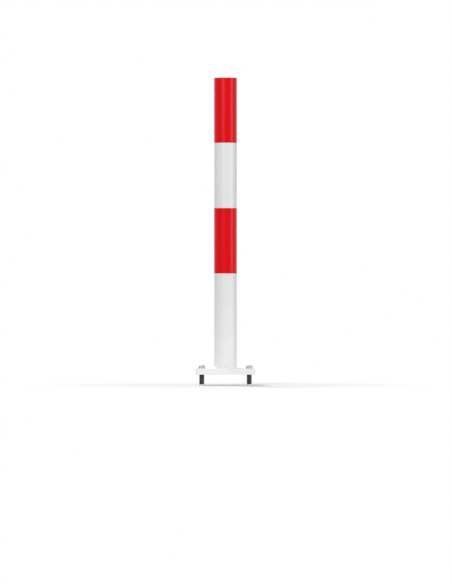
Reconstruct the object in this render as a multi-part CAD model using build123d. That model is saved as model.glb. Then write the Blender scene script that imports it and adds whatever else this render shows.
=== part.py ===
from build123d import *
from math import radians, tan
import os

# A fixed steel bollard: a striped tube on a square plate that is bolted down into the ground.
# All sizes are millimetres. The origin is at ground level, at the middle of the plate's underside.
# +Z points up the post, and the front is towards -Y.

# Post tube and the lid that closes it
height_above_ground = 1000.0
tube_diameter = 76.1
tube_wall = 2.6
rim_rounding = 0.8
lid_thickness = 5.0
lid_gap = 0.1
lid_weld_depth = 3.0
lid_weld_hollow = 0.3

# Red reflective film, wrapped round the tube with its ends meeting at the back
band_height = 220.0
film_thickness = 0.3
film_glue = 0.1
film_rim_margin = 0.2
film_joint_gap = 1.0

# Base plate and the fillet weld that holds the tube on it
plate_side = 200.0
plate_thickness = 20.0
plate_corner_radius = 10.0
plate_edge_bevel = 1.0
hole_edge_distance = 20.0
hole_deburring = 0.5
drain_hole_diameter = 40.0
base_weld_leg = 4.0
base_weld_crown = 0.3

# Hex bolts and washers
bolt_diameter = 12.0
bolt_tip_chamfer = 1.5
head_across_flats = 18.0
head_height = 7.5
head_chamfer_inset = 0.45
head_chamfer_slope = 30.0
bearing_face_inset = 0.7
bearing_face_height = 0.5
washer_width = 5.5
washer_thickness = 2.5
washer_bevel = 0.6
washer_play = 0.5
head_turns = {"front_left": 0.0, "front_right": 0.0, "rear_left": 13.0, "rear_right": -21.0}

# Ground anchors: sleeves with a thread outside, a blind threaded bore and a plain solid end
anchor_wall = 2.4
anchor_depth = 37.0
anchor_setback = 0.3
anchor_end_chamfer = 1.5
anchor_mouth_chamfer = 1.0
anchor_floor = 19.5
drill_point_depth = 3.5
bolt_tip_gap = 1.5
thread_play = 0.1
anchor_hole_play = 0.5

# What follows from those sizes
tube_radius = tube_diameter / 2
bore_radius = tube_radius - tube_wall
lid_radius = bore_radius - lid_gap
upper_band_top = height_above_ground - rim_rounding - film_rim_margin
bolt_radius = bolt_diameter / 2
head_inner_radius = head_across_flats / 2
washer_bore_radius = bolt_radius + washer_play
anchor_bore_radius = bolt_radius + thread_play
anchor_radius = anchor_bore_radius + anchor_wall
anchor_bore_end = anchor_floor + drill_point_depth - anchor_depth
plate_hole_radius = anchor_radius + anchor_hole_play
hole_offset = plate_side / 2 - hole_edge_distance
head_seat = plate_thickness + washer_thickness
bolt_length = head_seat - (anchor_bore_end + bolt_tip_gap)

corners = {
    "front_left": (-hole_offset, -hole_offset),
    "front_right": (hole_offset, -hole_offset),
    "rear_left": (-hole_offset, hole_offset),
    "rear_right": (hole_offset, hole_offset),
}


def turned(outline):
    """A solid turned about the Z axis from its half section on the XZ plane."""
    return revolve(make_face(outline), Axis.Z)


def turned_through(*points):
    """The same from straight sides, each corner given as its radius and height."""
    return turned(Polyline(*[(radius, 0, height) for radius, height in points], close=True))


def ring(outer_radius, inner_radius, height):
    """A plain ring that stands on height 0."""
    return extrude(Circle(outer_radius) - Circle(inner_radius), height)


def post_tube():
    """A steel tube that stands on the plate, its outer rim rounded over."""
    tube = ring(tube_radius, bore_radius, height_above_ground - plate_thickness)
    rim = tube.edges().group_by(Axis.Z)[-1].sort_by(SortBy.RADIUS)[-1]
    return Pos(0, 0, plate_thickness) * fillet(rim, min(rim_rounding, tube_wall / 2))


def top_lid():
    """A flat disc in the tube's end, flush with it and bevelled to take the weld."""
    top = height_above_ground
    return turned_through(
        (0, top),
        (lid_radius - lid_weld_depth, top),
        (lid_radius, top - lid_weld_depth),
        (lid_radius, top - lid_thickness),
        (0, top - lid_thickness),
    )


def lid_weld():
    """The bead that fills the groove between lid and tube, laid a little hollow."""
    top = height_above_ground
    root = top - lid_weld_depth
    lid_edge = lid_radius - lid_weld_depth
    middle = (lid_edge + bore_radius) / 2
    groove = Polyline(
        (bore_radius, 0, top), (bore_radius, 0, root), (lid_radius, 0, root), (lid_edge, 0, top)
    )
    face = ThreePointArc((lid_edge, 0, top), (middle, 0, top - lid_weld_hollow), (bore_radius, 0, top))
    return turned(groove + face)


def red_band(bottom, top):
    """One turn of film on its thin layer of glue, open by a hair where its ends meet at the back."""
    height = top - bottom
    inner_radius = tube_radius + film_glue
    wrap = ring(inner_radius + film_thickness, inner_radius, height)
    standing = (Align.CENTER, Align.CENTER, Align.MIN)
    joint = Pos(0, tube_radius, 0) * Box(film_joint_gap, tube_radius, height, align=standing)
    return Pos(0, 0, bottom) * (wrap - joint)


def base_plate():
    """A thick square plate with rounded corners, a hole over each anchor and a drain hole."""
    plate = extrude(RectangleRounded(plate_side, plate_side, plate_corner_radius), plate_thickness)
    levels = plate.edges().group_by(Axis.Z)
    plate = chamfer(levels[0] + levels[-1], plate_edge_bevel)
    anchor_holes = [Pos(x, y) * Circle(plate_hole_radius) for x, y in corners.values()]
    plate -= extrude(Circle(drain_hole_diameter / 2) + anchor_holes, plate_thickness)
    hole_rims = plate.edges().filter_by(GeomType.CIRCLE).filter_by(lambda edge: edge.is_closed)
    return chamfer(hole_rims, hole_deburring)


def base_weld():
    """The fillet weld round the tube's foot, its face slightly crowned."""
    floor = plate_thickness
    bulge = base_weld_leg / 2 + base_weld_crown * 0.5**0.5
    toe = (tube_radius + base_weld_leg, 0, floor)
    shoulder = (tube_radius, 0, floor + base_weld_leg)
    face = ThreePointArc(toe, (tube_radius + bulge, 0, floor + bulge), shoulder)
    return turned(Polyline(shoulder, (tube_radius, 0, floor), toe) + face)


def anchor_bolt():
    """A hex bolt that stands with its bearing face at height 0 and its shank below."""
    hexagon = RegularPolygon(head_inner_radius, 6, major_radius=False)
    prism = Pos(0, 0, bearing_face_height) * extrude(hexagon, head_height - bearing_face_height)
    crown_radius = head_inner_radius - head_chamfer_inset
    reach = 2 * head_inner_radius
    shoulder = head_height - (reach - crown_radius) * tan(radians(head_chamfer_slope))
    chamfer_cone = turned_through(
        (0, head_height),
        (crown_radius, head_height),
        (reach, shoulder),
        (reach, shoulder - head_height),
        (0, shoulder - head_height),
    )
    bearing_radius = head_inner_radius - bearing_face_inset
    shank = turned_through(
        (0, bearing_face_height),
        (bearing_radius, bearing_face_height),
        (bearing_radius, 0),
        (bolt_radius, 0),
        (bolt_radius, bolt_tip_chamfer - bolt_length),
        (bolt_radius - bolt_tip_chamfer, -bolt_length),
        (0, -bolt_length),
    )
    return (prism & chamfer_cone) + shank


def washer():
    """A flat washer that lies on height 0, bevelled round its top edge."""
    flat = ring(washer_bore_radius + washer_width, washer_bore_radius, washer_thickness)
    outer_top_edge = flat.edges().group_by(Axis.Z)[-1].sort_by(SortBy.RADIUS)[-1]
    return chamfer(outer_top_edge, washer_bevel)


def anchor_sleeve():
    """A blind sleeve in the ground, its two threads drawn as plain cylinders."""
    mouth = min(anchor_mouth_chamfer, anchor_wall / 2)
    return turned_through(
        (anchor_bore_radius + mouth, -anchor_setback),
        (anchor_radius, -anchor_setback),
        (anchor_radius, anchor_end_chamfer - anchor_depth),
        (anchor_radius - anchor_end_chamfer, -anchor_depth),
        (0, -anchor_depth),
        (0, anchor_floor - anchor_depth),
        (anchor_bore_radius, anchor_bore_end),
        (anchor_bore_radius, -anchor_setback - mouth),
    )


pieces = {
    "post_tube": post_tube(),
    "top_lid": top_lid(),
    "lid_weld": lid_weld(),
    "red_band_upper": red_band(height_above_ground - band_height, upper_band_top),
    "red_band_lower": red_band(height_above_ground - 3 * band_height, height_above_ground - 2 * band_height),
    "base_plate": base_plate(),
    "base_weld": base_weld(),
}
for corner, (x, y) in corners.items():
    pieces[f"anchor_bolt_{corner}"] = Pos(x, y, head_seat) * Rot(0, 0, head_turns[corner]) * anchor_bolt()
    pieces[f"washer_{corner}"] = Pos(x, y, plate_thickness) * washer()
    pieces[f"anchor_sleeve_{corner}"] = Pos(x, y) * anchor_sleeve()

os.makedirs("parts", exist_ok=True)
for name, piece in pieces.items():
    export_step(piece, f"parts/{name}.step")
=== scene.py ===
from math import cos, pi, radians, sin
from random import Random

import bmesh
import bpy
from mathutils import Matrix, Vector


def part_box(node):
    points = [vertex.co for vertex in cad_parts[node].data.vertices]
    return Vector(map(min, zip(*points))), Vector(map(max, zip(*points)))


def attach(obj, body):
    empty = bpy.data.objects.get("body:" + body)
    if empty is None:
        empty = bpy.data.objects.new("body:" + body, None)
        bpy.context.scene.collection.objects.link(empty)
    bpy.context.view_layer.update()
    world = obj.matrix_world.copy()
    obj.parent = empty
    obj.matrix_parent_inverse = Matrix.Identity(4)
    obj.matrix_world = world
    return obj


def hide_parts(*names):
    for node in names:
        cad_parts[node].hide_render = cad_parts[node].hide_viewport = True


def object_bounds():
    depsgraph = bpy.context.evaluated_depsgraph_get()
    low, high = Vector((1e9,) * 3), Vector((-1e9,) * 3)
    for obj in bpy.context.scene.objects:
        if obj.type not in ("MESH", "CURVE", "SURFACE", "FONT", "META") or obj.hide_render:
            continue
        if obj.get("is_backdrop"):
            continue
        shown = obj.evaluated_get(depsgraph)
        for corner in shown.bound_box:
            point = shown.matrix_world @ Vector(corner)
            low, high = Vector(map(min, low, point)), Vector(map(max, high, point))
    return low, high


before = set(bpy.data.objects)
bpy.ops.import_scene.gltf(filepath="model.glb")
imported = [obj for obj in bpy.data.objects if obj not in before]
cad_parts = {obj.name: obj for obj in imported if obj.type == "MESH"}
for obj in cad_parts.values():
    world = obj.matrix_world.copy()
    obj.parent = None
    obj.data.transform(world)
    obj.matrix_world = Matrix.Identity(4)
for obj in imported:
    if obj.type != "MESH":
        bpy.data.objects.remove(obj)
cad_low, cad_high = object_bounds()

# Base plate
# A 200 mm square of 20 mm steel, flame cut, with rounded corners and dressed edges. Its four
# corner holes are as wide as the anchors that are set through them, and the middle one drains the
# tube. The plate, tube and lid are welded, galvanised and then powder coated white as one piece.


def take(piece):
    """Makes a piece the only one that is selected."""
    bpy.ops.object.select_all(action="DESELECT")
    bpy.context.view_layer.objects.active = piece
    piece.select_set(True)


def settled(name):
    """Names the piece just added, and puts its place, turn and size into its mesh."""
    piece = bpy.context.object
    piece.name = name
    piece.data.name = name
    bpy.ops.object.transform_apply(location=True, rotation=True, scale=True)
    return piece


def modify(piece, kind, **settings):
    """Gives a piece one modifier and applies it."""
    take(piece)
    modifier = piece.modifiers.new(kind.lower(), kind)
    for name, value in settings.items():
        setattr(modifier, name, value)
    bpy.ops.object.modifier_apply(modifier=modifier.name)


def bevel_edges(piece, width, segments, rule):
    """Rounds off the edges whose two ends obey a rule."""
    take(piece)
    bpy.ops.object.mode_set(mode="EDIT")
    bpy.ops.mesh.select_mode(type="EDGE")
    bpy.ops.mesh.select_all(action="DESELECT")
    mesh = bmesh.from_edit_mesh(piece.data)
    for edge in mesh.edges:
        edge.select_set(rule(*[vertex.co for vertex in edge.verts]))
    bmesh.update_edit_mesh(piece.data)
    bpy.ops.mesh.bevel(offset=width, segments=segments, affect="EDGES")
    bpy.ops.object.mode_set(mode="OBJECT")


def bevel_sharp_edges(piece, width, segments):
    """Rounds off every edge where the surface turns by more than 60 degrees."""
    modify(piece, "BEVEL", width=width, segments=segments, angle_limit=radians(60))


def combine(piece, operation, tool):
    """Cuts a tool from a piece, keeps what both share or joins them, and closes up the slivers."""
    sliver_width = 2e-6
    modify(piece, "BOOLEAN", operation=operation, object=tool, solver="EXACT")
    bpy.data.objects.remove(tool)
    bpy.ops.object.mode_set(mode="EDIT")
    bpy.ops.mesh.select_all(action="SELECT")
    bpy.ops.mesh.dissolve_degenerate(threshold=sliver_width)
    bpy.ops.object.mode_set(mode="OBJECT")


def smooth(piece, angle):
    """Shades a piece smooth across edges of less than an angle, with its flat faces left flat."""
    take(piece)
    bpy.ops.object.shade_smooth_by_angle(angle=radians(angle))
    modify(piece, "WEIGHTED_NORMAL", keep_sharp=True)


class Wire:
    """An outlet of a material's node. Sums written with wires add the Math nodes they need."""

    def __init__(self, tree, socket=None):
        self.tree = tree
        self.socket = socket

    def node(self, kind, sockets=None, outlet=0, **settings):
        """Adds any other node: its settings first, then a value or a wire for each socket."""
        made = self.tree.nodes.new("ShaderNode" + kind)
        for name, value in settings.items():
            setattr(made, name, value)
        for name, value in (sockets or {}).items():
            if isinstance(value, Wire):
                self.tree.links.new(value.socket, made.inputs[name])
            else:
                made.inputs[name].default_value = value
        return Wire(self.tree, made.outputs[outlet] if made.outputs else None)

    def maths(self, operation, *values):
        """Adds a Math node that works on wires or numbers."""
        return self.node("Math", dict(enumerate(values)), operation=operation)

    def __add__(self, other):
        return self.maths("ADD", self, other)

    def __sub__(self, other):
        return self.maths("SUBTRACT", self, other)

    def __rsub__(self, other):
        return self.maths("SUBTRACT", other, self)

    def __mul__(self, other):
        return self.maths("MULTIPLY", self, other)

    def __truediv__(self, other):
        return self.maths("DIVIDE", self, other)

    def __rtruediv__(self, other):
        return self.maths("DIVIDE", other, self)

    def __mod__(self, other):
        return self.maths("FLOORED_MODULO", self, other)

    def __abs__(self):
        return self.maths("ABSOLUTE", self)

    __radd__ = __add__
    __rmul__ = __mul__

    def along(self, axis):
        """How far a vector reaches along its X, Y or Z axis."""
        return self.node("SeparateXYZ", {0: self}, axis)

    def between(self, low, high):
        """0 at the low value, rising softly to 1 at the high value, and level past both."""
        ends = {"Value": self, "From Min": low, "From Max": high}
        return self.node("MapRange", ends, interpolation_type="SMOOTHSTEP")

    def mixed(self, first, second):
        """The first colour where this wire is 0 and the second where it is 1."""
        colour_a, colour_b, colour_result = 6, 7, 2
        colours = {"Factor": self, colour_a: first, colour_b: second}
        return self.node("Mix", colours, colour_result, data_type="RGBA")

    def noise(self, scale, detail=2.0, stretch=(1.0, 1.0, 1.0)):
        """A cloudy pattern of so many lumps a metre on these coordinates."""
        stretched = self.node("Mapping", {"Vector": self, "Scale": stretch})
        return self.node("TexNoise", {"Vector": stretched, "Scale": scale, "Detail": detail})


def new_material(name):
    """A new material, and the wire of its coordinates in metres."""
    material = bpy.data.materials.new(name)
    material.use_nodes = True
    material.node_tree.nodes.clear()
    return material, Wire(material.node_tree).node("TexCoord", outlet="Object")


def finish_material(colour, roughness, height, metallic=0.0, specular=0.5):
    """Ends a material in its shader, with a relief of a height in metres."""
    relief = height.node("Bump", {"Height": height, "Distance": 1.0})
    sockets = {
        "Base Color": colour,
        "Roughness": roughness,
        "Metallic": metallic,
        "Specular IOR Level": specular,
        "Normal": relief,
    }
    height.node("OutputMaterial", {"Surface": height.node("BsdfPrincipled", sockets)})


def white_coating(name, cut_between=None):
    """White powder coating with its fine orange peel, and a cut edge's drag lines under it."""
    white = (0.87, 0.87, 0.86, 1.0)
    thin_white = (0.835, 0.84, 0.835, 1.0)
    cloud_lumps = 14.0
    cloud_share = 0.7
    thin_from, thin_to = 0.35, 0.75
    peel_lumps = 460.0
    peel_height = 0.00012
    sag_lumps = 130.0
    sag_height = 0.00007
    drag_lines = 700.0
    drag_stretch = (1.0, 1.0, 0.05)
    drag_height = 0.00016
    drag_margin = 0.001
    coat_roughness = 0.29
    sag_roughness = 0.12
    material, where = new_material(name)
    peel = where.noise(peel_lumps)
    sag = where.noise(sag_lumps)
    cloud = where.noise(cloud_lumps, detail=3.0)
    height = peel * peel_height + sag * sag_height
    if cut_between:
        low, high = cut_between
        z = where.along("Z")
        on_the_side = z.between(low, low + drag_margin) * z.between(high, high - drag_margin)
        drag = where.noise(drag_lines, stretch=drag_stretch)
        height = height + drag * on_the_side * drag_height
    thinning = (cloud * cloud_share + peel * (1.0 - cloud_share)).between(thin_from, thin_to)
    colour = thinning.mixed(white, thin_white)
    finish_material(colour, coat_roughness + sag * sag_roughness, height, specular=0.4)
    return material


anchor_spots = {}
for corner in ("front_left", "front_right", "rear_left", "rear_right"):
    low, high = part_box(f"anchor_sleeve_{corner}")
    anchor_spots[corner] = Vector(((low.x + high.x) / 2, (low.y + high.y) / 2, 0.0))
anchor_radius = (high.x - low.x) / 2

plate_low, plate_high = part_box("base_plate")
plate_top = plate_high.z
plate_corner_radius = 0.010
plate_edge_rounding = 0.0010
plate_hole_play = 0.0005
drain_hole_radius = 0.020
hole_cutter_length = 0.1
small_round_sides = 96

bpy.ops.object.select_all(action="DESELECT")
bpy.ops.mesh.primitive_cube_add(
    size=1.0, location=(plate_low + plate_high) / 2, scale=plate_high - plate_low
)
plate = settled("plate")
bevel_edges(plate, plate_corner_radius, segments=16, rule=lambda a, b: abs(a.z - b.z) > plate_top / 2)

holes = [(spot, anchor_radius + plate_hole_play) for spot in anchor_spots.values()]
holes.append((Vector(), drain_hole_radius))
for spot, radius in holes:
    bpy.ops.object.select_all(action="DESELECT")
    bpy.ops.mesh.primitive_cylinder_add(
        vertices=small_round_sides, radius=radius, depth=hole_cutter_length, location=spot
    )
    combine(plate, "DIFFERENCE", settled("hole"))
bevel_sharp_edges(plate, plate_edge_rounding, segments=3)
smooth(plate, angle=40)
cut_edge = (plate_low.z + plate_edge_rounding, plate_high.z - plate_edge_rounding)
plate.data.materials.append(white_coating("coated_plate", cut_edge))
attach(plate, "root")
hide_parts("base_plate")

# Post tube
# A welded steel tube, 76.1 mm across with a 2.6 mm wall, standing square on the plate. Its top rim
# is rounded over so that the white coating covers it.
tube_low, tube_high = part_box("post_tube")
tube_radius = (tube_high.x - tube_low.x) / 2
tube_wall = 0.0026
tube_top = tube_high.z
rim_rounding = 0.0008
tube_sides = 192
hair = 0.0001

bpy.ops.object.select_all(action="DESELECT")
bpy.ops.mesh.primitive_cylinder_add(
    vertices=tube_sides,
    radius=tube_radius,
    depth=tube_high.z - tube_low.z,
    end_fill_type="NOTHING",
    location=(tube_low + tube_high) / 2,
)
tube = settled("tube")
modify(tube, "SOLIDIFY", thickness=tube_wall, offset=-1.0)


def outer_rim(*ends):
    """Whether an edge is on the tube's upper outer rim."""
    return all(end.z > tube_top - hair and end.xy.length > tube_radius - hair for end in ends)


bevel_edges(tube, rim_rounding, segments=5, rule=outer_rim)
smooth(tube, angle=40)
coating = white_coating("coating")
tube.data.materials.append(coating)
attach(tube, "root")
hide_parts("post_tube")

# Foot weld
# The fillet weld that joins the tube to the plate, laid in four runs that follow one another round
# the foot. Its crescent ripples still show softly under the coating.


def weld_together():
    """Merges the points that lie on one another, and selects all that is left."""
    bpy.ops.mesh.select_all(action="SELECT")
    bpy.ops.mesh.remove_doubles(threshold=1e-6)
    bpy.ops.mesh.select_all(action="SELECT")


def drawn(name, points):
    """A line through points, each extruded from the last. It is left selected in edit mode."""
    bpy.ops.object.select_all(action="DESELECT")
    bpy.ops.mesh.primitive_plane_add(size=0.001, location=points[0])
    line = settled(name)
    bpy.ops.object.mode_set(mode="EDIT")
    bpy.ops.mesh.select_mode(type="VERT")
    bpy.ops.mesh.select_all(action="SELECT")
    bpy.ops.mesh.merge(type="CENTER")
    for here, there in zip(points, points[1:]):
        step = Vector(there) - Vector(here)
        bpy.ops.mesh.extrude_region_move(TRANSFORM_OT_translate={"value": step})
    weld_together()
    return line


def spin(steps, angle, copies=False):
    """Spins what is selected anticlockwise about the Z axis, or sets copies of it round there."""
    bpy.ops.mesh.spin(steps=steps, angle=-angle, center=(0, 0, 0), axis=(0, 0, 1), dupli=copies)


def bulging(start, end, rise, lag, steps):
    """Points from start to end that bulge sideways by a rise and hang back by a lag midway."""
    start, end = Vector(start), Vector(end)
    chord = end - start
    side = Vector((-chord.z, 0.0, chord.x)).normalized()
    points = []
    for k in range(steps + 1):
        share = k / steps
        swell = 4 * share * (1 - share)
        points.append(start + chord * share + side * rise * swell - Vector((0.0, lag * swell, 0.0)))
    return points


def weld_bead(name, outline, runs, ripples, swell, seed):
    """A bead round the post: one run of ripples, each a little unlike the next, copied round."""
    least_swell, most_swell = 0.6, 1.2
    overlap_swell = 1.6
    front_share, crown_share, back_share = 0.18, 0.42, 0.40
    chance = Random(seed)
    bead = drawn(name, outline)
    root = Vector(outline[0])
    pitch = 2 * pi / (runs * ripples)
    turned = 0.0
    size = 1.0
    for ripple in range(ripples):
        rise = swell * chance.uniform(least_swell, most_swell)
        if ripple == ripples - 2:
            rise = rise * overlap_swell
        crest = 1.0 + rise
        crown = (1.0 + 2 * crest) / 3
        for share, level in ((front_share, crest), (crown_share, crown), (back_share, 1.0)):
            spin(1, pitch * share)
            turned += pitch * share
            corner = (root.x * cos(turned), root.x * sin(turned), root.z)
            bpy.ops.transform.resize(value=(level / size,) * 3, center_override=corner)
            size = level
    bpy.ops.mesh.select_all(action="SELECT")
    spin(runs - 1, 2 * pi * (runs - 1) / runs, copies=True)
    weld_together()
    bpy.ops.mesh.normals_make_consistent(inside=False)
    bpy.ops.object.mode_set(mode="OBJECT")
    return bead


foot_weld_low, foot_weld_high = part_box("base_weld")
foot_valley_share = 0.97
foot_leg = (foot_weld_high.z - foot_weld_low.z) * foot_valley_share
foot_crown = 0.0003
foot_lag = 0.0009
foot_root = (tube_radius, 0.0, plate_top)
foot_shoulder = (tube_radius, 0.0, plate_top + foot_leg)
foot_toe = (tube_radius + foot_leg, 0.0, plate_top)
foot_face = bulging(foot_shoulder, foot_toe, foot_crown, foot_lag, steps=10)
foot_outline = [foot_root, *foot_face, foot_root]
foot_weld = weld_bead("foot_weld", foot_outline, runs=4, ripples=34, swell=0.055, seed=5)
smooth(foot_weld, angle=80)
foot_weld.data.materials.append(coating)
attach(foot_weld, "root")
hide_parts("base_weld")

# Lid
# A flat steel disc that closes the tube, set in flush with its rim. Its upper edge is bevelled to
# take the weld that holds it.
lid_low, lid_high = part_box("top_lid")
lid_radius = (lid_high.x - lid_low.x) / 2
lid_bevel = 0.003
lid_bottom_rounding = 0.0004

bpy.ops.object.select_all(action="DESELECT")
bpy.ops.mesh.primitive_cylinder_add(
    vertices=tube_sides,
    radius=lid_radius,
    depth=lid_high.z - lid_low.z,
    location=(lid_low + lid_high) / 2,
)
lid = settled("lid")
bevel_edges(lid, lid_bevel, segments=1, rule=lambda a, b: min(a.z, b.z) > lid_high.z - hair)
bevel_edges(lid, lid_bottom_rounding, segments=2, rule=lambda a, b: max(a.z, b.z) < lid_low.z + hair)
smooth(lid, angle=30)
lid.data.materials.append(coating)
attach(lid, "root")
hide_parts("top_lid")

# Lid weld
# The bead that fills the groove between the lid and the tube, laid a little hollow so that it
# stands no higher than the rim. It has the same ripples as the foot weld under the same coating.
lid_toe_bite = 0.00015
lid_weld_hollow = 0.0003
lid_weld_drop = 0.00016
lid_lag = 0.0006
bore_radius = tube_radius - tube_wall
lid_root = (bore_radius, 0.0, tube_top - lid_bevel)
lid_groove_bottom = (lid_radius - lid_toe_bite, 0.0, tube_top - lid_bevel)
lid_toe = (lid_radius - lid_bevel - lid_toe_bite, 0.0, tube_top - lid_weld_drop)
lid_shoulder = (bore_radius, 0.0, tube_top - lid_weld_drop)
lid_face = bulging(lid_toe, lid_shoulder, -lid_weld_hollow, lid_lag, steps=8)
lid_outline = [lid_root, lid_groove_bottom, *lid_face, lid_root]
lid_weld = weld_bead("lid_bead", lid_outline, runs=4, ripples=32, swell=0.035, seed=9)
smooth(lid_weld, angle=80)
lid_weld.data.materials.append(coating)
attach(lid_weld, "root")
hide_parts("lid_weld")

# Red bands
# Two bands of red reflective film, each one turn of sheeting glued round the coated tube with its
# ends meeting at the back. Small sealed cells show faintly through the clear face of the film.
film_joint_gap = 0.001
film_thickness = 0.00036
film_edge_rounding = 0.00008

deep_red = (0.87, 0.0, 0.004, 1.0)
pale_red = (0.80, 0.0015, 0.008, 1.0)
seal_red = (0.66, 0.0, 0.003, 1.0)
cell_width = 0.0036
cell_height = cell_width * 3**0.5
seal_width = 0.00022
seal_core_share = 0.3
seal_depth = 0.00002
cloud_lumps = 22.0
grain_lumps = 2600.0
grain_share = 0.4
pale_from, pale_to = 0.3, 0.7
grain_height = 0.000002
wave_lumps = 60.0
wave_stretch = (1.0, 1.0, 0.35)
wave_height = 0.00005
clear_roughness = 0.24
grain_roughness = 0.08
seal_roughness = 0.1
red_film, where = new_material("reflective_film")
x, y, z = [where.along(axis) for axis in "XYZ"]
around = x.maths("ARCTAN2", x, y * -1.0) * (tube_radius + film_thickness)


def from_cell_middle(across, up):
    """How far a point is from the middle of its six-sided cell, and 0.5 on the cell's edge."""
    across = abs(across % cell_width - cell_width / 2)
    up = abs(up % cell_height - cell_height / 2)
    slanted = across * 0.5 + up * (3**0.5 / 2)
    return across.maths("MAXIMUM", across, slanted) / cell_width


one_grid = from_cell_middle(around, z)
other_grid = from_cell_middle(around + cell_width / 2, z + cell_height / 2)
edge = x.maths("MINIMUM", one_grid, other_grid)
seal = edge.between(0.5 - seal_width / cell_width, 0.5 - seal_core_share * seal_width / cell_width)
cloud = where.noise(cloud_lumps, detail=3.0)
grain = where.noise(grain_lumps, detail=1.0)
paleness = (cloud * (1.0 - grain_share) + grain * grain_share).between(pale_from, pale_to)
wave = where.noise(wave_lumps, stretch=wave_stretch)
film_colour = seal.mixed(paleness.mixed(deep_red, pale_red), seal_red)
film_roughness = clear_roughness + grain * grain_roughness + seal * seal_roughness
film_height = wave * wave_height - seal * seal_depth + grain * grain_height
finish_material(film_colour, film_roughness, film_height, specular=0.15)

for name in ("red_band_upper", "red_band_lower"):
    low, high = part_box(name)
    inner_radius = (high.x - low.x) / 2 - film_thickness
    half_gap = film_joint_gap / 2 / inner_radius
    edge_x, edge_y = -inner_radius * sin(half_gap), inner_radius * cos(half_gap)
    band = drawn(f"{name}_film", [(edge_x, edge_y, low.z), (edge_x, edge_y, high.z)])
    spin(tube_sides - 1, 2 * pi - 2 * half_gap)
    bpy.ops.mesh.select_all(action="SELECT")
    bpy.ops.mesh.normals_make_consistent(inside=False)
    bpy.ops.object.mode_set(mode="OBJECT")
    modify(band, "SOLIDIFY", thickness=film_thickness, offset=1.0)
    bevel_sharp_edges(band, film_edge_rounding, segments=2)
    smooth(band, angle=40)
    band.data.materials.append(red_film)
    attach(band, "root")
    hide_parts(name)

# Anchor sleeves
# Steel sleeves set in the ground under the plate's corners. Each is turned from dark bar, threaded
# outside down to a plain bright end, and bored from above to take its bolt. Above the plain end the
# colour is dark partly as blackened steel and partly as painted shade of the thread grooves.


def spun(name, outline):
    """A solid spun round the Z axis from the radii and heights of its half section."""
    solid = drawn(name, [(radius, 0.0, height) for radius, height in outline])
    spin(small_round_sides, 2 * pi)
    weld_together()
    bpy.ops.mesh.normals_make_consistent(inside=False)
    bpy.ops.object.mode_set(mode="OBJECT")
    return solid


def cut_thread(piece, crest, pitch, bottom, turns):
    """Cuts a 60 degree screw thread round a piece that stands on the Z axis."""
    flank_slope = 0.577
    clear = 0.00005
    steps_a_turn = 48
    half_root = pitch / 8
    half_crest = pitch * 7 / 16
    root = crest - (half_crest - half_root) / flank_slope
    outside = crest + pitch / 2
    half_clear = half_crest + clear * flank_slope
    groove = [
        (root, -half_root),
        (crest + clear, -half_clear),
        (outside, -half_clear),
        (outside, half_clear),
        (crest + clear, half_clear),
        (root, half_root),
        (root, -half_root),
    ]
    cutter = drawn("cutter", [(radius, 0.0, bottom + height) for radius, height in groove])
    bpy.ops.object.mode_set(mode="OBJECT")
    modify(
        cutter,
        "SCREW",
        screw_offset=pitch,
        iterations=turns,
        steps=steps_a_turn,
        render_steps=steps_a_turn,
        use_smooth_shade=False,
    )
    bpy.ops.object.mode_set(mode="EDIT")
    weld_together()
    bpy.ops.mesh.fill_holes(sides=0)
    bpy.ops.mesh.select_all(action="SELECT")
    bpy.ops.mesh.normals_make_consistent(inside=False)
    bpy.ops.object.mode_set(mode="OBJECT")
    combine(piece, "DIFFERENCE", cutter)


def copied(piece, name, spot, turn=0.0):
    """A copy of a piece with a mesh of its own, set down at a spot and turned by an angle."""
    take(piece)
    bpy.ops.object.duplicate(linked=False)
    bpy.context.object.location = spot
    bpy.context.object.rotation_euler.z = radians(turn)
    return settled(name)


sleeve_low, sleeve_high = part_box("anchor_sleeve_front_left")
sleeve_top, sleeve_bottom = sleeve_high.z, sleeve_low.z
sleeve_bore_radius = 0.0061
sleeve_mouth = 0.001
sleeve_end_chamfer = 0.0015
sleeve_floor = sleeve_bottom + 0.0195
drill_point = 0.0035
sleeve_thread_pitch = 0.002
sleeve_end_height = 0.0044
sleeve_end_break = 0.0002
relief_width = 0.0012
relief_depth = 0.0011
sleeve_top_break = 0.0004
relief_bottom = sleeve_bottom + sleeve_end_height
relief_top = relief_bottom + relief_width
relief_radius = anchor_radius - relief_depth

sleeve_outline = [
    (0.0, sleeve_floor),
    (sleeve_bore_radius, sleeve_floor + drill_point),
    (sleeve_bore_radius, sleeve_top - sleeve_mouth),
    (sleeve_bore_radius + sleeve_mouth, sleeve_top),
    (anchor_radius - sleeve_top_break, sleeve_top),
    (anchor_radius, sleeve_top - sleeve_top_break),
    (anchor_radius, relief_top + relief_depth / 2),
    (relief_radius, relief_top),
    (relief_radius, relief_bottom + sleeve_end_break),
    (relief_radius + sleeve_end_break, relief_bottom),
    (anchor_radius - sleeve_end_break, relief_bottom),
    (anchor_radius, relief_bottom - sleeve_end_break),
    (anchor_radius, sleeve_bottom + sleeve_end_chamfer),
    (anchor_radius - sleeve_end_chamfer, sleeve_bottom),
    (0.0, sleeve_bottom),
]
sleeve = spun("sleeve", sleeve_outline)
cut_thread(sleeve, crest=anchor_radius, pitch=sleeve_thread_pitch, bottom=relief_top, turns=17)
smooth(sleeve, angle=25)

# Painted shade: the sleeve above its plain end is coloured dark partly as blackened steel and partly
# to stand in for shade in the thread grooves; the plain end below stays bright.
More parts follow.
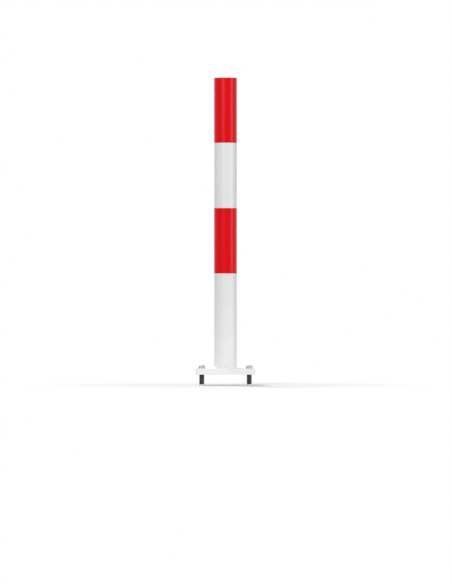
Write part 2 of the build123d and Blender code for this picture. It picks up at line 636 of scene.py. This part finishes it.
black_steel_and_painted_shade = (0.085, 0.087, 0.092, 1.0)
pale_black = (0.15, 0.15, 0.155, 1.0)
bright_steel = (0.62, 0.62, 0.63, 1.0)
bright_edge = 0.0001
turning_lines = 400.0
turning_stretch = (0.05, 0.05, 14.0)
mottle_lumps = 300.0
mottle_from, mottle_to = 0.45, 0.8
steel_relief = 0.00001
steel_roughness = 0.32
mottle_roughness = 0.25
anchor_steel, where = new_material("blackened_steel_and_painted_shade")
bright_end = where.along("Z").between(relief_bottom + bright_edge, relief_bottom - bright_edge)
turning = where.noise(turning_lines, stretch=turning_stretch)
mottle = where.noise(mottle_lumps, detail=4.0)
# This dark mottled colour is partly blackened steel and partly painted shade of the threads.
blacking_and_painted_shade = mottle.between(mottle_from, mottle_to).mixed(black_steel_and_painted_shade, pale_black)
finish_material(
    bright_end.mixed(blacking_and_painted_shade, bright_steel),
    steel_roughness + mottle * mottle_roughness,
    turning * steel_relief + mottle * steel_relief,
    metallic=1.0,
)

for corner, spot in anchor_spots.items():
    anchor = copied(sleeve, f"anchor_{corner}", spot)
    anchor.data.materials.append(anchor_steel)
    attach(anchor, "root")
    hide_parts(f"anchor_sleeve_{corner}")
bpy.data.objects.remove(sleeve)

# Washers
# Flat steel washers, punched from sheet and zinc plated. Each bridges the wide hole in the plate
# under its bolt head, and the die leaves its upper edge slightly rounded.
washer_low, washer_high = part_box("washer_front_left")
washer_radius = (washer_high.x - washer_low.x) / 2
washer_bore_radius = 0.0065
washer_rounding = 0.0006
washer_break = 0.00015


def zinc_plating(name, ring_lines, ring_height):
    """Bright zinc on steel, faintly cloudy, with marks that run round the nearest anchor."""
    bright_zinc = (0.53, 0.54, 0.56, 1.0)
    dull_zinc = (0.38, 0.39, 0.40, 1.0)
    cloud_lumps = 240.0
    cloud_share = 0.7
    cloud_height = 0.000012
    dull_from, dull_to = 0.3, 0.7
    zinc_roughness = 0.34
    cloud_roughness = 0.2
    material, where = new_material(name)
    nearest = where.node("VectorMath", {0: where}, operation="ABSOLUTE")
    centred = where.node("Mapping", {"Vector": nearest, "Location": -anchor_spots["rear_right"]})
    flat = where.node("VectorMath", {0: centred, 1: (1.0, 1.0, 0.0)}, operation="MULTIPLY")
    radius = where.node("VectorMath", {0: flat}, "Value", operation="LENGTH")
    lines = {0: radius * ring_lines, 2: where.along("Z") * ring_lines}
    rings = where.node("CombineXYZ", lines).noise(1.0)
    cloud = where.noise(cloud_lumps, detail=4.0)
    dullness = (cloud * cloud_share + rings * (1.0 - cloud_share)).between(dull_from, dull_to)
    height = rings * ring_height + cloud * cloud_height
    colour = dullness.mixed(bright_zinc, dull_zinc)
    finish_material(colour, zinc_roughness + cloud * cloud_roughness, height, metallic=1.0)
    return material


bpy.ops.object.select_all(action="DESELECT")
bpy.ops.mesh.primitive_cylinder_add(
    vertices=small_round_sides,
    radius=washer_radius,
    depth=washer_high.z - washer_low.z,
    end_fill_type="NOTHING",
    location=(0.0, 0.0, (washer_low.z + washer_high.z) / 2),
)
washer = settled("washer")
modify(washer, "SOLIDIFY", thickness=washer_radius - washer_bore_radius, offset=-1.0)


def washer_top_edge(*ends):
    """Whether an edge is on the washer's upper outer rim."""
    return all(end.z > washer_high.z - hair and end.xy.length > washer_radius - hair for end in ends)


bevel_edges(washer, washer_rounding, segments=4, rule=washer_top_edge)
bevel_sharp_edges(washer, washer_break, segments=2)
smooth(washer, angle=40)
zinc_on_washers = zinc_plating("zinc_on_washers", ring_lines=1500.0, ring_height=0.000012)
for corner, spot in anchor_spots.items():
    plated_washer = copied(washer, f"plated_washer_{corner}", spot)
    plated_washer.data.materials.append(zinc_on_washers)
    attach(plated_washer, "root")
    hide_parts(f"washer_{corner}")
bpy.data.objects.remove(washer)

# Bolts
# Hex bolts of 12 mm, zinc plated, cold headed and with a rolled thread of 1.75 mm pitch. Each is
# screwed down through its washer into the sleeve below, the front two with a corner to each side.
bolt_low, bolt_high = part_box("anchor_bolt_front_left")
bolt_tip = bolt_low.z
bolt_radius = 0.006
bolt_pitch = 0.00175
bolt_tip_chamfer = 0.0015
head_seat = washer_high.z
head_top = bolt_high.z
head_half_flats = 0.009
head_corner_radius = head_half_flats / cos(pi / 6)
head_corner_rounding = 0.0003
head_chamfer_inset = 0.00045
head_chamfer_slope = 0.577
crown_radius = head_half_flats - head_chamfer_inset
crown_edge_width = 0.0003
crown_edge_drop = 0.00006
crown_reach = 0.02
bearing_inset = 0.0007
bearing_height = 0.0005
bearing_radius = head_half_flats - bearing_inset
bearing_top = head_seat + bearing_height
bearing_break = 0.00005
shank_overlap = 0.002
blank_spare = 0.001
head_turns = {"front_left": 0.0, "front_right": 0.0, "rear_left": 13.0, "rear_right": -21.0}

blank_top = head_top + blank_spare
bpy.ops.object.select_all(action="DESELECT")
bpy.ops.mesh.primitive_cylinder_add(
    vertices=6,
    radius=head_corner_radius,
    depth=blank_top - bearing_top,
    location=(0.0, 0.0, (blank_top + bearing_top) / 2),
    rotation=(0.0, 0.0, pi / 6),
)
bolt = settled("bolt")
bevel_edges(bolt, head_corner_rounding, segments=3, rule=lambda a, b: abs(a.z - b.z) > hair)
crown_outline = [
    (0.0, head_top),
    (crown_radius - crown_edge_width, head_top),
    (crown_radius, head_top - crown_edge_drop),
    (crown_reach, head_top - (crown_reach - crown_radius) * head_chamfer_slope),
    (crown_reach, head_seat),
    (head_corner_radius + hair, bearing_top - hair),
    (0.0, bearing_top - hair),
]
combine(bolt, "INTERSECT", spun("crown", crown_outline))
shank_outline = [
    (0.0, head_seat + shank_overlap),
    (bearing_radius, head_seat + shank_overlap),
    (bearing_radius, head_seat + bearing_break),
    (bearing_radius - bearing_break, head_seat),
    (bolt_radius, head_seat),
    (bolt_radius, bolt_tip + bolt_tip_chamfer),
    (bolt_radius - bolt_tip_chamfer, bolt_tip),
    (0.0, bolt_tip),
]
shank = spun("shank", shank_outline)
cut_thread(shank, crest=bolt_radius, pitch=bolt_pitch, bottom=bolt_tip - bolt_pitch / 2, turns=18)
combine(bolt, "UNION", shank)
smooth(bolt, angle=25)
zinc_on_bolts = zinc_plating("zinc_on_bolts", ring_lines=900.0, ring_height=0.000016)
for corner, spot in anchor_spots.items():
    plated_bolt = copied(bolt, f"plated_bolt_{corner}", spot, head_turns[corner])
    plated_bolt.data.materials.append(zinc_on_bolts)
    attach(plated_bolt, "root")
    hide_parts(f"anchor_bolt_{corner}")
bpy.data.objects.remove(bolt)

# Floor and background
# A pale floor at the level of the anchors' tips. It keeps the soft shadow near the bollard, and
# further out it fades into the plain white that surrounds everything.
floor_side = 60.0
floor_white = (0.93, 0.93, 0.93, 1.0)
shadow_reach = 0.22
fade_end = 0.75
studio_glow = 0.2


def plain_white(wire):
    """White where the background is seen or mirrored, and a dimmer glow where it gives light."""
    rays = ("Is Camera Ray", "Is Glossy Ray", "Is Transmission Ray")
    camera_ray, glossy_ray, clear_ray = [wire.node("LightPath", outlet=ray) for ray in rays]
    seen = wire.maths("MINIMUM", camera_ray + glossy_ray + clear_ray, 1.0)
    return studio_glow + seen * (1.0 - studio_glow)


bpy.ops.object.select_all(action="DESELECT")
bpy.ops.mesh.primitive_plane_add(size=floor_side, location=(0.0, 0.0, cad_low.z))
floor = settled("floor")
floor_material, where = new_material("floor")
distance = where.node("VectorMath", {0: where}, "Value", operation="LENGTH")
near = where.node("BsdfDiffuse", {"Color": floor_white})
far = where.node("Emission", {"Strength": plain_white(where)})
fading = distance.between(shadow_reach, fade_end)
where.node("OutputMaterial", {"Surface": where.node("MixShader", {0: fading, 1: near, 2: far})})
floor.data.materials.append(floor_material)
floor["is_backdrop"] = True

world = bpy.data.worlds.new("studio")
world.use_nodes = True
world.node_tree.nodes.clear()
bpy.context.scene.world = world
sky = Wire(world.node_tree)
glow = sky.node("Background", {"Color": (1.0, 1.0, 1.0, 1.0), "Strength": plain_white(sky)})
sky.node("OutputWorld", {"Surface": glow})

# Lamps
# Softboxes in front to the left, at the right side, behind and overhead. They light a surface that
# faces the camera to about the tone it is written in. From the front, the sides, the back and the
# corners, none is mirrored in the flat lid and plate, which would turn them plain white.
post_middle = Vector((0.0, 0.0, tube_top / 2))


def softbox(name, place, width, height, watts):
    """A rectangular lamp that faces the middle of the post."""
    light = bpy.data.lights.new(name, "AREA")
    light.shape = "RECTANGLE"
    light.size = width
    light.size_y = height
    light.energy = watts
    lamp = bpy.data.objects.new(name, light)
    bpy.context.scene.collection.objects.link(lamp)
    lamp.location = place
    lamp.rotation_euler = (post_middle - Vector(place)).to_track_quat("-Z", "Y").to_euler()


softbox("key", (-1.45, -3.5, 2.2), width=1.4, height=2.0, watts=102.0)
softbox("fill", (3.4, -1.4, 1.2), width=1.2, height=2.4, watts=52.0)
softbox("back", (-1.4, 3.2, 2.6), width=1.2, height=1.8, watts=98.0)
softbox("overhead", (0.0, 0.2, 3.2), width=2.0, height=2.0, watts=13.0)

# Camera
# It looks straight at the front from far off, so that the bollard is drawn almost without
# perspective, framed by the ground line, the top and the axis of the post in the picture.
image_width = 452
image_height = 584
axis_column = 225.485
ground_row = 374.25
top_row = 77.72
metres_per_pixel = tube_top / (ground_row - top_row)
view_distance = 20.0

camera_data = bpy.data.cameras.new("camera")
camera_data.sensor_width = 36.0
camera_data.lens = camera_data.sensor_width * view_distance / (image_height * metres_per_pixel)
camera = bpy.data.objects.new("camera", camera_data)
bpy.context.scene.collection.objects.link(camera)
bpy.context.scene.camera = camera
camera.location = (
    (image_width / 2 - axis_column) * metres_per_pixel,
    -view_distance,
    (ground_row - image_height / 2) * metres_per_pixel,
)
camera.rotation_euler = (pi / 2, 0.0, 0.0)
bpy.context.scene.view_settings.view_transform = "Standard"

low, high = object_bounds()
